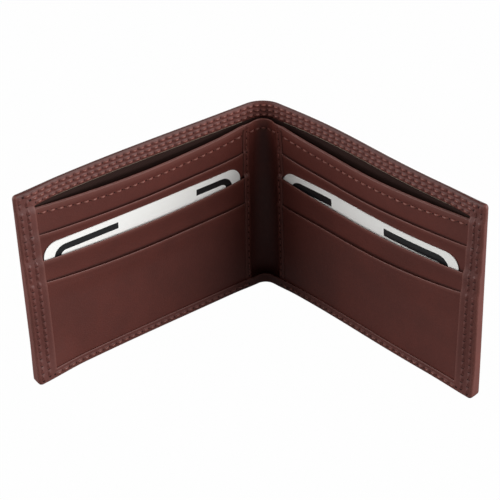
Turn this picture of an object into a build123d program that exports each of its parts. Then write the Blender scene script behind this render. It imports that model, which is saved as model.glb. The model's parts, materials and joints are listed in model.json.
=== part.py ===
"""Bifold leather wallet, half open and standing on its long edges.

World frame: +Z up, mirror-symmetric about the YZ plane, spine at +Y, leaves
running towards -Y. The origin is the middle of the footprint, on the ground.

Leaf frame, used for everything on a leaf: +X runs from the crease to the
turned end, +Y from the outer face inwards through the layers, +Z up. The left
leaf is placed from it; the right leaf is its mirror image.
"""
import os
from math import cos, radians, sin, tan

from build123d import *

# Attitude of the two leaves (degrees between them)
STANDING_ANGLE = 97.0
SHUT_ANGLE = -1.0
FLAT_ANGLE = 180.0

# Display card, a standard card size: the leaves are as long as it needs
CARD_LENGTH = 85.6
CARD_HEIGHT = 54.0
CARD_THICKNESS = 0.3
CARD_CORNER = 5.5

# Outside
SHELL_HEIGHT = 80.5
SPINE_RADIUS = 10.0
TOP_CORNER = 2.0
BOTTOM_CORNER = 4.0
EDGE_ROUND = 0.6

# Layers, in order from the outer face inwards
LEATHER = 0.8
STIFFENER = 0.2
LINING = 0.2
BILL_GAP = 0.5
DIVIDER = 0.5
SLIP_GAP = 0.1
POCKET_LEATHER = 0.3
SLOT_GAP = 0.2
TURNED_LEATHER = 0.15
CARD_PLAY = 0.08
FLAP = 0.6

# Turned edges of the shell
TOP_HEM_DEPTH = 6.5
TOP_HEM_THICKNESS = 0.5
BOTTOM_HEM_HEIGHT = 4.5
END_FLAP_WIDTH = 7.3
FLOOR_THICKNESS = 0.8

# Heights of the inner edges, below the shell's top edge
DIVIDER_DROP = 7.0
CARD_PANEL_DROP = 7.8
UPPER_SLOT_DROP = 18.3
MIDDLE_SLOT_DROP = 28.9
FRONT_SLOT_DROP = 39.0

# Sewing
DIVIDER_TURN_DEPTH = 6.0
POCKET_TURN_DEPTH = 5.0
SPINE_SEAM = 1.6
BOTTOM_SEAM = 2.4
UPPER_POCKET_DEPTH = 46.0
LINING_TUCK = 0.3
STACK_MARGIN = 1.9
CARD_SIDE_PLAY = 0.65
INSET = 0.15
GLUE_LINE = 0.05
CREASE_CLEARANCE = 0.1
STIFFENER_MARGIN = 2.0

# Depth at which each layer starts
stiffener_depth = LEATHER
lining_depth = stiffener_depth + STIFFENER + GLUE_LINE
divider_depth = lining_depth + LINING + BILL_GAP
panel_depth = divider_depth + DIVIDER + SLIP_GAP
upper_depth = panel_depth + POCKET_LEATHER + SLOT_GAP
card_depth = upper_depth + POCKET_LEATHER + CARD_PLAY
middle_depth = card_depth + CARD_THICKNESS + CARD_PLAY + TURNED_LEATHER
front_depth = middle_depth + POCKET_LEATHER + SLOT_GAP
flap_depth = front_depth + POCKET_LEATHER
leaf_depth = flap_depth + FLAP
spine_depth = divider_depth + DIVIDER + FLAP

# Creases: the leather bends about the middle of its own thickness
half_angle = STANDING_ANGLE / 2
half_bend = 90 - half_angle
crease_depth = LEATHER / 2
shutting_turn = half_angle - SHUT_ANGLE / 2
opening_turn = FLAT_ANGLE / 2 - half_angle


def relief_at(depth):
    """Distance a layer keeps from the crease so that nothing meets at either limit."""
    turn = shutting_turn if depth > crease_depth else opening_turn
    return abs(depth - crease_depth) * tan(radians(turn / 2)) + CREASE_CLEARANCE


# Along a leaf, from the crease: seam, card, end flap
stack_start = relief_at(leaf_depth) + STACK_MARGIN
pocket_start = stack_start + SPINE_SEAM
card_middle = pocket_start + CARD_SIDE_PLAY + CARD_LENGTH / 2
pocket_end = card_middle + CARD_LENGTH / 2 + CARD_SIDE_PLAY
leaf_length = pocket_end + END_FLAP_WIDTH
inside_end = leaf_length - LEATHER - INSET

# Heights
divider_top = SHELL_HEIGHT - DIVIDER_DROP
panel_top = SHELL_HEIGHT - CARD_PANEL_DROP
upper_top = SHELL_HEIGHT - UPPER_SLOT_DROP
middle_top = SHELL_HEIGHT - MIDDLE_SLOT_DROP
front_top = SHELL_HEIGHT - FRONT_SLOT_DROP
hem_low = SHELL_HEIGHT - TOP_HEM_DEPTH
inside_floor = FLOOR_THICKNESS + INSET
inside_corner = BOTTOM_CORNER - LEATHER - INSET

# The footprint's middle, measured from the centre of the spine's arc
leaf_end_reach = (
    (leaf_length - EDGE_ROUND) * cos(radians(half_angle))
    + (leaf_depth - EDGE_ROUND) * sin(radians(half_angle))
    + EDGE_ROUND
    - SPINE_RADIUS * sin(radians(half_angle))
)
spine_centre_y = (leaf_end_reach - SPINE_RADIUS) / 2
spine_axis = Axis((0, spine_centre_y, 0), (0, 0, -1))
left_crease = Location(
    (
        -SPINE_RADIUS * cos(radians(half_angle)),
        spine_centre_y + SPINE_RADIUS * sin(radians(half_angle)),
        0,
    ),
    (0, 0, -90 - half_angle),
)
leaf_section = Plane.YZ
spine_section = Plane(left_crease * Plane.YZ.location)


def crease_relief(side):
    """Plan of what is cut away at the crease: side 1 for a leaf, -1 for the spine."""
    outer, inner = -LEATHER, leaf_depth + LEATHER
    far = -side * SPINE_RADIUS * 2
    with BuildSketch() as plan:
        with BuildLine():
            Polyline(
                (far, outer),
                (side * relief_at(outer), outer),
                (side * CREASE_CLEARANCE, crease_depth),
                (side * relief_at(inner), inner),
                (far, inner),
                close=True,
            )
        make_face()
    return plan.sketch


def spine_relief():
    """The spine's two crease reliefs, in the world frame."""
    left = crease_relief(-1).moved(left_crease)
    return left + left.mirror(Plane.YZ)


def shell_profile(depth):
    """Section of the shell, outer face at 0: floor, turned-up hem and top hem."""
    with BuildSketch() as profile:
        with BuildLine():
            Polyline(
                (0, 0),
                (depth, 0),
                (depth, BOTTOM_HEM_HEIGHT),
                (depth - FLAP, BOTTOM_HEM_HEIGHT),
                (depth - FLAP, FLOOR_THICKNESS),
                (LEATHER, FLOOR_THICKNESS),
                (LEATHER, hem_low),
                (LEATHER + TOP_HEM_THICKNESS, hem_low),
                (LEATHER + TOP_HEM_THICKNESS, SHELL_HEIGHT),
                (0, SHELL_HEIGHT),
                close=True,
            )
        make_face()
        top_corners = profile.vertices().group_by(Axis.Y)[-1]
        ground_corners = profile.vertices().group_by(Axis.Y)[0]
        fillet(top_corners + ground_corners, EDGE_ROUND)
    return profile.sketch


def divider_profile():
    """Section of the bill divider: a sheet whose top edge is turned to the bill side."""
    turn_low = divider_top - DIVIDER_TURN_DEPTH
    with BuildSketch() as profile:
        with BuildLine():
            Polyline(
                (divider_depth, inside_floor),
                (divider_depth + DIVIDER, inside_floor),
                (divider_depth + DIVIDER, divider_top),
                (divider_depth - TURNED_LEATHER, divider_top),
                (divider_depth - TURNED_LEATHER, turn_low),
                (divider_depth, turn_low),
                close=True,
            )
        make_face()
        fillet(profile.vertices().group_by(Axis.Y)[-1], (DIVIDER + TURNED_LEATHER) * 0.45)
    return profile.sketch


def lining_profile():
    """Section of the lining, a plain sheet that ends under the shell's top hem."""
    height = hem_low - LINING_TUCK - inside_floor
    with BuildSketch() as profile:
        with Locations((lining_depth, inside_floor)):
            Rectangle(LINING, height, align=(Align.MIN, Align.MIN))
    return profile.sketch


def side_view(start, end, low, high, low_corner=0, high_corner=0):
    """Outline of a sheet seen from its side, with rounded corners at the turned end."""
    with BuildSketch() as outline:
        with Locations((start, low)):
            Rectangle(end - start, high - low, align=(Align.MIN, Align.MIN))
        for corner, radius in ((0, low_corner), (-1, high_corner)):
            if radius:
                far_end = outline.vertices().group_by(Axis.X)[-1]
                fillet(far_end.sort_by(Axis.Y)[corner], radius)
    return outline.sketch


def layer_plane(depth):
    """Plane of a layer: its side view lies on it, and amount < 0 extrudes inwards."""
    return Plane.XZ.offset(-depth)


def leaf_shell():
    """Shell of one leaf: a pouch open along the top and, inside its turned edges, in front.

    The short stretch before the card stack has the spine's shallower section.
    """
    with BuildPart() as shell:
        with BuildSketch(layer_plane(0)):
            add(side_view(stack_start, leaf_length, 0, SHELL_HEIGHT, BOTTOM_CORNER, TOP_CORNER))
        extrude(amount=-leaf_depth)
        rims = shell.edges().group_by(Axis.Y)
        fillet(
            (rims[0] + rims[-1]).filter_by(lambda edge: edge.center().X > pocket_start),
            EDGE_ROUND,
        )
        with BuildSketch(layer_plane(LEATHER)):
            add(
                side_view(
                    0,
                    leaf_length - LEATHER,
                    FLOOR_THICKNESS,
                    SHELL_HEIGHT + EDGE_ROUND,
                    BOTTOM_CORNER - LEATHER,
                )
            )
        extrude(amount=LEATHER - flap_depth, mode=Mode.SUBTRACT)
        with BuildSketch(layer_plane(flap_depth)):
            add(side_view(0, pocket_end, BOTTOM_HEM_HEIGHT, SHELL_HEIGHT + EDGE_ROUND))
        extrude(amount=-FLAP, mode=Mode.SUBTRACT)
        with BuildSketch(leaf_section.offset(stack_start)) as hem:
            with Locations((LEATHER, hem_low)):
                Rectangle(TOP_HEM_THICKNESS, TOP_HEM_DEPTH, align=(Align.MIN, Align.MIN))
            inner_corner = hem.vertices().group_by(Axis.Z)[-1].sort_by(Axis.Y)[-1]
            fillet(inner_corner, TOP_HEM_THICKNESS * 0.9)
        extrude(amount=leaf_length - TOP_CORNER - stack_start)
        with BuildSketch(leaf_section):
            add(shell_profile(spine_depth))
        extrude(amount=stack_start)
        extrude(crease_relief(1), amount=SHELL_HEIGHT, mode=Mode.SUBTRACT)
    return shell.part


def leaf_strip(profile):
    """A profile drawn out along one leaf, from the crease to the turned end."""
    with BuildPart() as strip:
        with BuildSketch(leaf_section):
            add(profile)
        extrude(amount=inside_end)
        with BuildSketch(layer_plane(0)):
            add(side_view(0, inside_end, inside_floor, SHELL_HEIGHT, inside_corner))
        extrude(amount=-leaf_depth, mode=Mode.INTERSECT)
        extrude(crease_relief(1), amount=SHELL_HEIGHT, mode=Mode.SUBTRACT)
    return strip.part


def spine_strip(profile):
    """The same profile carried round the spine between the two creases."""
    with BuildPart() as strip:
        with BuildSketch(spine_section):
            add(profile)
        revolve(axis=spine_axis, revolution_arc=2 * half_bend)
        extrude(spine_relief(), amount=SHELL_HEIGHT, mode=Mode.SUBTRACT)
    return strip.part


def stiffener():
    """Interlining board, glued flat inside the leaf's leather."""
    start = relief_at(stiffener_depth) + STIFFENER_MARGIN
    high = hem_low - LINING_TUCK
    with BuildPart() as board:
        with BuildSketch(layer_plane(stiffener_depth)):
            add(side_view(start, inside_end, inside_floor, high, inside_corner))
        extrude(amount=-STIFFENER)
    return board.part


def card_panel():
    """Panel behind the pockets: a slip pocket opens behind its spine-side edge."""
    with BuildPart() as panel:
        with BuildSketch(layer_plane(panel_depth)):
            add(side_view(stack_start, inside_end, inside_floor, panel_top, inside_corner))
        extrude(amount=-POCKET_LEATHER)
        top_edges = panel.edges().filter_by(Axis.X).group_by(Axis.Z)[-1]
        fillet(top_edges, POCKET_LEATHER * 0.45)
    return panel.part


def pocket(depth, gap, low, high, corner=0):
    """Pocket panel with a turned top edge, sewn down along both sides and its bottom.

    The sewn strips reach back across the gap to the panel behind.
    """
    with BuildPart() as panel:
        with BuildSketch(layer_plane(depth)):
            add(side_view(stack_start, inside_end, low, high, corner))
        extrude(amount=-POCKET_LEATHER)
        with BuildSketch(layer_plane(depth)):
            add(side_view(stack_start, inside_end, low, high, corner))
            add(
                side_view(pocket_start, pocket_end, low + BOTTOM_SEAM, high + BOTTOM_SEAM),
                mode=Mode.SUBTRACT,
            )
        extrude(amount=gap - GLUE_LINE)
        with BuildSketch(layer_plane(depth)):
            add(side_view(stack_start, inside_end, high - POCKET_TURN_DEPTH, high))
        extrude(amount=TURNED_LEATHER)
        top_edges = panel.edges().filter_by(Axis.X).group_by(Axis.Z)[-1]
        fillet(top_edges.sort_by(Axis.Y)[-1], POCKET_LEATHER * 0.7)
    return panel.part


def display_card():
    """Card that stands on the bottom seam of the middle pocket."""
    with BuildPart() as card:
        with BuildSketch(layer_plane(card_depth)):
            with Locations((card_middle, inside_floor + BOTTOM_SEAM + CARD_PLAY)):
                RectangleRounded(
                    CARD_LENGTH, CARD_HEIGHT, CARD_CORNER, align=(Align.CENTER, Align.MIN)
                )
        extrude(amount=-CARD_THICKNESS)
    return card.part


leaf_pieces = {
    "shell": leaf_shell(),
    "stiffener": stiffener(),
    "lining": leaf_strip(lining_profile()),
    "bill_divider": leaf_strip(divider_profile()),
    "card_panel": card_panel(),
    "upper_pocket": pocket(upper_depth, SLOT_GAP, upper_top - UPPER_POCKET_DEPTH, upper_top),
    "middle_pocket": pocket(
        middle_depth,
        middle_depth - upper_depth - POCKET_LEATHER,
        inside_floor,
        middle_top,
        inside_corner,
    ),
    "front_pocket": pocket(front_depth, SLOT_GAP, inside_floor, front_top, inside_corner),
    "display_card": display_card(),
}
spine_pieces = {
    "spine_shell": spine_strip(shell_profile(spine_depth)),
    "spine_lining": spine_strip(lining_profile()),
    "spine_bill_divider": spine_strip(divider_profile()),
}

os.makedirs("parts", exist_ok=True)
for name, piece in leaf_pieces.items():
    with BuildPart() as left:
        add(piece.moved(left_crease))
    left.part.label = f"left_{name}"
    export_step(left.part, f"parts/left_{name}.step")
    with BuildPart() as right:
        mirror(left.part, about=Plane.YZ)
    right.part.label = f"right_{name}"
    export_step(right.part, f"parts/right_{name}.step")
for name, piece in spine_pieces.items():
    with BuildPart() as spine:
        add(piece)
    spine.part.label = name
    export_step(spine.part, f"parts/{name}.step")
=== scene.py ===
"""Bifold leather wallet, half open, with two cards in it: the dressed model.

Everything on a leaf is worked out in the leaf's own axes, in millimetres: s runs
along the outer face from the crease to the turned end (below 0 it runs round the
spine's arc, to the middle of the spine), v runs inwards through the layers, and
z is the height.
"""
import json
import math

import bmesh
import bpy
import numpy as np
from bpy.props import FloatProperty, FloatVectorProperty, PointerProperty
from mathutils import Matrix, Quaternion, Vector


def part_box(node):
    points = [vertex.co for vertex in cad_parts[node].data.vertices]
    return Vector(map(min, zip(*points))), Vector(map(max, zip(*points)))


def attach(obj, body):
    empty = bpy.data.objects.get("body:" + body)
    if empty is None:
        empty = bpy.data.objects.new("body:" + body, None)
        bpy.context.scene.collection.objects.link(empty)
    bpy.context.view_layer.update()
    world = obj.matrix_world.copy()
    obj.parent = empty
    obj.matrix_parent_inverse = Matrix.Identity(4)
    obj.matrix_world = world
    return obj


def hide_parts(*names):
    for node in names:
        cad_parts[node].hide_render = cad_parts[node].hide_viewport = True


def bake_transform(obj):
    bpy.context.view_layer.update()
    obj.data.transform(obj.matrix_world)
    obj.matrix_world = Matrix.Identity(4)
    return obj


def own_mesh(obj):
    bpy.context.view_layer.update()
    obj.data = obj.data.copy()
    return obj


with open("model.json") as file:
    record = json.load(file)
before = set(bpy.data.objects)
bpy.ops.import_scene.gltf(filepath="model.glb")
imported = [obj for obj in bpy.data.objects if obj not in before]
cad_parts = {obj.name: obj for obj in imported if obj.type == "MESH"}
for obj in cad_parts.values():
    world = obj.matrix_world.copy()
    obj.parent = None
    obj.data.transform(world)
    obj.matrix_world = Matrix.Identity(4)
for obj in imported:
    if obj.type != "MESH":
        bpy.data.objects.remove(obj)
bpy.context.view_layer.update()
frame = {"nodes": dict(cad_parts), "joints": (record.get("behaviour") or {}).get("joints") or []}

bl_info = {
    "name": "Bifold wallet",
    "version": (1, 0, 0),
    "blender": (4, 5, 0),
    "location": "3D View > Sidebar > Wallet",
    "description": "Dresses a two-leaf leather wallet with hems, pockets, stitches and cards",
    "category": "Object",
}

MM = 0.001

# What each leaf of this wallet does besides its plain form, in millimetres and radians.
# SWAY: the slope and three sine amplitudes of the leaf's wander inwards.
# LEAN: how far the end runs on, at the top and at the foot. CURL: how far its bottom
# corner curls inwards. LIFT: how far the pockets' spine side stands off at the top.
# END_DROP: how much lower the inner top edge ends at the flap.
# BINDING: where the binding starts from the pockets' spine side, at the top and at the foot.
# CARD: how far the card sits from its solid along the leaf and in height, and its tilt.
# CARD_PRINT: the width of the card's border, and from where to where it is broken.
SWAY = {"left": (0.75, -1.2, 0.25, 0.0), "right": (-0.91, -0.22, -0.85, -0.17)}
LEAN = {"left": (0.3, 0.6), "right": (-1.6, 0.8)}
CURL = {"left": 1.25, "right": 0.6}
LIFT = {"left": 1.6, "right": 2.0}
END_DROP = {"left": 0.4, "right": 0.7}
BINDING = {"left": (-2.3, -1.2), "right": (-2.5, -1.6)}
CARD = {"left": (0.0, 0.0, 0.0), "right": (-1.4, -1.5, 0.018)}
CARD_PRINT = {"left": (2.7, -22.4, 12.0), "right": (3.3, -17.7, 9.3)}

# What each pocket edge does besides the common bow, in millimetres: how far it gapes, over
# what height, how much higher its flap end is than its spine end, and how far it sags, as
# the amplitudes of two sines.
GAPE = {
    ("left", "card_panel"): (0.0, 4.0, 0.0, 1.45, 0.0),
    ("left", "upper_pocket"): (0.7, 5.0, 0.0, 0.9, -0.1),
    ("left", "middle_pocket"): (0.7, 8.0, 0.0, 1.4, 0.0),
    ("left", "front_pocket"): (0.8, 10.0, 2.4, 1.6, -0.3),
    ("right", "card_panel"): (0.0, 4.0, 0.0, 1.2, 0.6),
    ("right", "upper_pocket"): (0.7, 5.0, 0.0, 1.2, 0.6),
    ("right", "middle_pocket"): (0.7, 8.0, 0.0, 1.7, 0.4),
    ("right", "front_pocket"): (0.8, 14.0, 4.0, 1.9, 0.0),
}
LAYERS = ("card_panel", "upper_pocket", "middle_pocket", "front_pocket")

# The height at which the layers start, and how far short of the leaf's end they stop.
LAYER_FOOT, LAYER_END, LINING_END = 1.7, 1.7, 1.6

# The world's light besides the lamps, and the lamps: name, azimuth and elevation in degrees,
# watts, width and height in metres. They stand LAMP_REACH from the wallet's middle.
AMBIENT = 0.03
LAMP_REACH = 1.0
LAMPS = (
    ("right_lamp", -17.0, 11.0, 11.5, 0.6, 0.34),
    ("left_lamp", 197.0, 11.0, 7.2, 0.6, 0.34),
    ("right_high_lamp", -20.0, 38.0, 5.6, 0.6, 0.35),
    ("left_high_lamp", 200.0, 38.0, 4.8, 0.6, 0.35),
    ("back_lamp", 90.0, 8.0, 5.0, 0.7, 0.25),
)
WHITE = (1.0, 1.0, 1.0)


def ease(x):
    """0 below 0, 1 above 1, and the smooth cubic between."""
    x = np.clip(x, 0.0, 1.0)
    return x * x * (3 - 2 * x)


def mixed(a, b, share):
    """Values from a to b by share."""
    return a * (1 - share) + b * share


def even(value):
    """The same value everywhere, as a function of s or of s and z."""
    return lambda s, z=0: value + 0 * (s + z)


# ---------------------------------------------------------------- properties


def shade(text):
    """Linear colour of a six-digit display colour."""
    parts = [int(text[k : k + 2], 16) / 255 for k in (0, 2, 4)]
    return tuple(c / 12.92 if c <= 0.04045 else ((c + 0.055) / 1.055) ** 2.4 for c in parts)


def length(name, description, default):
    """A length in millimetres, kept in metres."""
    return FloatProperty(
        name=name, description=description, default=default * MM, unit="LENGTH", precision=5
    )


def colour(name, description, default):
    """A surface colour."""
    return FloatVectorProperty(
        name=name, description=description, default=shade(default), subtype="COLOR", size=3
    )


class WalletSizes(bpy.types.PropertyGroup):
    """Sizes that a maker would change."""

    top_hem: length("Top hem", "Depth of the shell's turned top edge", 6.5)
    bottom_hem: length("Bottom hem", "Height of the shell's turned-up bottom edge", 4.5)
    flap: length("End flap", "Width of the turned-in end", 7.3)
    end_corner: length("Bottom corner", "Radius of the end's bottom corner", 1.7)
    top_corner: length("Top corner", "Radius of the end's top corner", 1.4)
    edge: length("Edge round", "Radius of the turned end and bottom", 1.2)
    left_bow: length("Left bow", "How far the left inner edge stands off in the middle", 3.5)
    right_bow: length("Right bow", "How far the right inner edge stands off in the middle", 3.4)
    spine_bow: length("Spine bow", "How far the divider leans inwards at the top of the spine", 0.5)
    pitch: length("Stitch", "Length of one stitch of the shell", 3.0)
    long_pitch: length("Long stitch", "Length of one stitch of the inner edge", 3.4)
    thread: length("Thread", "Thickness of the thread", 0.75)
    binding: length("Binding", "Width of the strip that binds the pockets along the spine", 2.6)


class WalletColours(bpy.types.PropertyGroup):
    """Colours of the finishes."""

    shell: colour("Shell", "Leather of the cover", "562A24")
    pocket: colour("Pockets", "Leather of the pockets", "512119")
    worn: colour("Worn edge", "Leather where an edge is rubbed", "7B4D44")
    thread: colour("Thread", "Sewing thread", "723F35")
    # The needle hole's colour is painted shade: the dark inside of a hole.
    hole: colour("Needle hole", "Inside of a needle hole", "240D0A")
    # The lining's colour is its own dark brown, darkened further as painted shade of the deep
    # compartment.
    lining: colour("Lining", "Woven lining of the note compartment", "24130F")
    board: colour("Board", "Stiffening board", "8F8272")
    card: colour("Card", "Face of a card", "F4F4F1")
    band: colour("Card band", "Printed border of a card", "111214")


def size_of(key):
    """A size of the panel, in millimetres."""
    return getattr(bpy.context.scene.wallet_sizes, key) / MM


def colour_of(key):
    """A colour of the panel."""
    return tuple(getattr(bpy.context.scene.wallet_colours, key))


# ---------------------------------------------------------------- the leaf's axes


class Leaf:
    """One leaf's axes and sizes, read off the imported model, in millimetres."""

    # Where along the leaf its end starts to lean; how far in from the end, and how far up from
    # the foot, the bottom corner curls.
    lean_start = 91.0
    curl_length, curl_height = 20, 18

    def __init__(self, name, side):
        fold = next(j for j in frame["joints"] if j["name"] == f"{name}_fold")
        self.name, self.side, self.body = name, side, f"{name}_leaf"
        self.bend = math.radians(-fold["range_deg"][0])
        hinge_x, hinge_y = abs(fold["pos_m"][0]) / MM, fold["pos_m"][1] / MM
        hinge_radius = hinge_x / math.sin(self.bend)
        self.centre = hinge_y - hinge_radius * math.cos(self.bend)
        self.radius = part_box("spine_shell")[1].y / MM - self.centre
        self.leather = 2 * (self.radius - hinge_radius)
        self.arc = self.radius * self.bend
        self.length, self.depth, self.height = self.span("shell")[1]
        self.stack = self.span("front_pocket")[0][0]
        self.flap = self.length - size_of("flap")
        self.top = self.span("bill_divider")[1][2]
        self.swell, self.stand = size_of(f"{name}_bow"), size_of("spine_bow")

    def sway(self, s, z):
        """How far inwards the whole leaf wanders: a slope and the first three sines of its
        length, half as much at the foot as at the top."""
        t = np.clip(s / self.length, 0, 1)
        slope, *waves = SWAY[self.name]
        wave = slope * t + sum(w * np.sin((k + 1) * math.pi * t) for k, w in enumerate(waves))
        return wave * (0.45 + 0.55 * np.clip(z / self.height, 0, 1.5))

    def press(self, s, z):
        """Share of their thickness left to the layers: less at the end, where they are sewn flat."""
        return 1 - 0.2 * ease((s - self.flap) / (self.length - self.flap)) * ease(z / 14)

    def lean(self, s, z):
        """How far the end runs on past its nominal place: between its top's and its foot's."""
        top, foot = LEAN[self.name]
        share = np.clip(z / self.height, 0, 1)
        near = ease((s - self.lean_start) / (self.length - self.lean_start))
        return (foot + (top - foot) * share) * near

    def curl(self, s, z):
        """How far the end's bottom corner curls inwards: eased towards the end and the foot."""
        near = ease((s - self.length + self.curl_length) / self.curl_length)
        return CURL[self.name] * near * (1 - ease(z / self.curl_height))

    def place(self, s, v, z):
        """World point of (s, v, z): the arc's point at its angle, then straight along the leaf."""
        s, v, z = np.broadcast_arrays(*(np.asarray(a, float) for a in (s, v, z)))
        curl = self.curl(s, z)
        s = s + self.lean(s, z) + 0.8 * curl
        v = v * self.press(s, z) + self.sway(s, z) + curl
        angle = self.bend + np.minimum(s, 0) / self.radius
        run, reach = np.maximum(s, 0), self.radius - v
        x = reach * np.sin(angle) + run * math.cos(self.bend)
        y = self.centre + reach * np.cos(angle) - run * math.sin(self.bend)
        return np.stack([self.side * x, y, z], -1)

    def inward(self):
        """World direction of v along the flat of the leaf."""
        return np.array([-self.side * np.sin(self.bend), -np.cos(self.bend), 0.0])

    def span(self, piece):
        """Lowest and highest (s, v, z) of a CAD node of this leaf."""
        mesh = frame["nodes"][f"{self.name}_{piece}"].data
        points = np.empty(len(mesh.vertices) * 3)
        mesh.vertices.foreach_get("co", points)
        sine, cosine = math.sin(self.bend), math.cos(self.bend)
        crease = (self.side * self.radius * sine, self.centre + self.radius * cosine, 0)
        points = points.reshape(-1, 3) / MM - crease
        along = np.array([self.side * cosine, -sine, 0])
        local = np.stack([points @ along, points @ self.inward(), points[:, 2]], -1)
        return local.min(0), local.max(0)

    def way(self, s):
        """0 at the pockets' spine side, 1 at the flap, even between."""
        return np.clip((s - self.stack) / (self.flap - self.stack), 0, 1)

    def hollow(self, s):
        """0 at the spine seam and at the flap, 1 half way: the parabola 4t(1 - t)."""
        t = np.clip((s - self.stack - 1) / (self.flap - self.stack - 1), 0, 1)
        return 4 * t * (1 - t)

    def bow(self, s, z):
        """How far the inner layers stand off: the parabola, growing with height to the power
        2.4, a lift of the pockets' spine side growing with its cube, and at the spine the lean
        inwards, growing with its square."""
        up = np.clip(z, 0, None) / self.top
        lift = LIFT[self.name] * ease((s + self.arc) / (self.arc + 4)) * (1 - ease((s - 5) / 28))
        lean = self.stand * (1 - ease(s / 6))
        return self.swell * self.hollow(s) * up**2.4 + lift * up**3 + lean * up**2


def leaves():
    return Leaf("left", -1), Leaf("right", 1)


# ---------------------------------------------------------------- mesh


class Skin:
    """Gathers surfaces given on grids and makes one mesh of them."""

    def __init__(self):
        self.points, self.uv, self.worn, self.faces, self.finish = [], [], [], [], []
        self.count = 0

    def quads(self, points, uv=(0, 0), worn=0.0, finish=0, around=False):
        """points[..., i, j]: one grid or several, with quads between neighbours.

        around joins the last column to the first.
        """
        shape = points.shape[:-1]
        index = self.count + np.arange(math.prod(shape)).reshape(shape)
        self.count += index.size
        self.points.append(points.reshape(-1, 3))
        self.uv.append(np.broadcast_to(uv, shape + (2,)).reshape(-1, 2))
        self.worn.append(np.broadcast_to(worn, shape).reshape(-1))
        if around:
            index = np.concatenate([index, index[..., :1]], -1)
        near, far = index[..., :-1, :], index[..., 1:, :]
        corners = [near[..., :-1], far[..., :-1], far[..., 1:], near[..., 1:]]
        self.faces.append(np.stack(corners, -1).reshape(-1, 4))
        self.finish.append(np.full(len(self.faces[-1]), finish))

    def closed(self, points, uv, worn=0.0):
        """A closed sheet: one closed ring of points per station, and a flat face at both ends."""
        self.quads(points, uv, worn, around=True)
        half = points.shape[1] // 2
        for end in (0, -1):
            self.quads(*(np.stack([a[end, :half], a[end, : half - 1 : -1]]) for a in (points, uv)))

    def mesh(self, name, finishes, weld=1e-7, crease=50):
        """The gathered surfaces as one object, welded, faces outward, smooth between creases."""
        mesh = bpy.data.meshes.new(name)
        points = np.concatenate(self.points) * MM
        mesh.from_pydata(points.tolist(), [], np.concatenate(self.faces).tolist())
        # worn: above 0 a rubbed, paler edge; below 0 painted shade.
        worn = mesh.attributes.new("worn", "FLOAT", "POINT")
        worn.data.foreach_set("value", np.concatenate(self.worn).astype(np.float32))
        layer = mesh.uv_layers.new(name="sheet")
        corner = np.empty(len(mesh.loops), np.int32)
        mesh.loops.foreach_get("vertex_index", corner)
        uv = np.concatenate(self.uv) * MM
        layer.data.foreach_set("uv", uv[corner].astype(np.float32).ravel())
        mesh.polygons.foreach_set("material_index", np.concatenate(self.finish).astype(np.int32))
        work = bmesh.new()
        work.from_mesh(mesh)
        bmesh.ops.remove_doubles(work, verts=work.verts, dist=weld)
        bmesh.ops.dissolve_degenerate(work, edges=work.edges, dist=weld)
        bmesh.ops.recalc_face_normals(work, faces=work.faces)
        work.to_mesh(mesh)
        work.free()
        mesh.shade_smooth()
        mesh.set_sharp_from_angle(angle=math.radians(crease))
        for finish in finishes:
            mesh.materials.append(finish)
        thing = bpy.data.objects.new(name, mesh)
        bpy.context.scene.collection.objects.link(thing)
        return thing


def sheet(leaf, stations, low, high, back, front, rows=26, dent=0.0, curl=0.0, cut=False, line=None):
    """A leather sheet with a rounded, turned top edge.

    At each station s the section is a closed ring: up the front from low(s) to high(s),
    over a half ellipse as wide as the sheet, and down the back. front and back are depths,
    as functions of s and z. The front is drawn in at a line below the edge (dent), and the
    sheet thins to half at its two ends, which rounds them, unless the first end is a plain cut.
    Where line(s) gives the height of the next pocket's edge, the sheet is darkened along it: a painted
    shadow of the slot there.
    """
    s = np.asarray(stations, float)[:, None]
    bottom, top = low(s), high(s)
    q = np.linspace(0, 1, rows) ** 0.85
    end_round, lip_rise = 0.35, 1.15
    taper = 1.0 if cut else 0.5 + 0.5 * np.sqrt(np.clip((s - s[0]) / end_round, 0, 1))
    taper = taper * (0.5 + 0.5 * np.sqrt(np.clip((s[-1] - s) / end_round, 0, 1)))
    lip = 0.5 * (front(s, top) - back(s, top)) * lip_rise
    z = bottom + (top - lip - bottom) * q
    painted_shadow = 0 * z
    # Painted shadow: a dark band along the next pocket's edge, fading out 1.2 mm below it and 0.7 mm
    # above.
    if line is not None:
        beside = line(s) + np.array([-1.2, -0.2, 0.1, 0.3, 0.55, 0.8])
        z = np.sort(np.concatenate([z, beside], 1), 1)
        over = z - line(s)
        painted_shadow = np.where(over < 0, 1 - ease(-over / 1.2), 1 - ease(over / 0.7))
    below = top - z
    inset = dent * np.exp(-(((below - 1.5) / 0.3) ** 2)) - curl * np.exp(-((below / 1.1) ** 2))
    f, b = front(s, z), back(s, z)
    middle = (f + b) / 2
    f_row = middle + (f - middle) * taper - inset
    b_row = middle + (b - middle) * taper
    arc = np.linspace(0, math.pi, 9)[1:-1]
    tip_f, tip_b = f_row[:, -1:], b_row[:, -1:]
    arc_v = (tip_f + tip_b) / 2 + (tip_f - tip_b) / 2 * np.cos(arc)
    arc_z = top - lip + lip * np.sin(arc)
    v = np.concatenate([f_row, arc_v[:, :4], arc_v[:, 3:], b_row[:, ::-1]], 1)
    z = np.concatenate([z, arc_z[:, :4], arc_z[:, 3:], z[:, ::-1]], 1)
    # Just below the top the front is paler, a rubbed edge, and it is darker along the painted shadow.
    rubbed = np.exp(-((below / 0.5) ** 2)) * 0.7 - painted_shadow
    # The lip's front is paler, a rubbed edge; its back is darker, a painted shadow behind the edge.
    lip_front, lip_back = (np.full_like(arc_z[:, :4], w) for w in (0.9, -1.0))
    worn = np.concatenate([rubbed, lip_front, lip_back, np.zeros_like(f_row)], 1)
    skin = Skin()
    skin.closed(leaf.place(s, v, z), np.stack(np.broadcast_arrays(s, z), -1), worn)
    return skin


# ---------------------------------------------------------------- the shell


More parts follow.
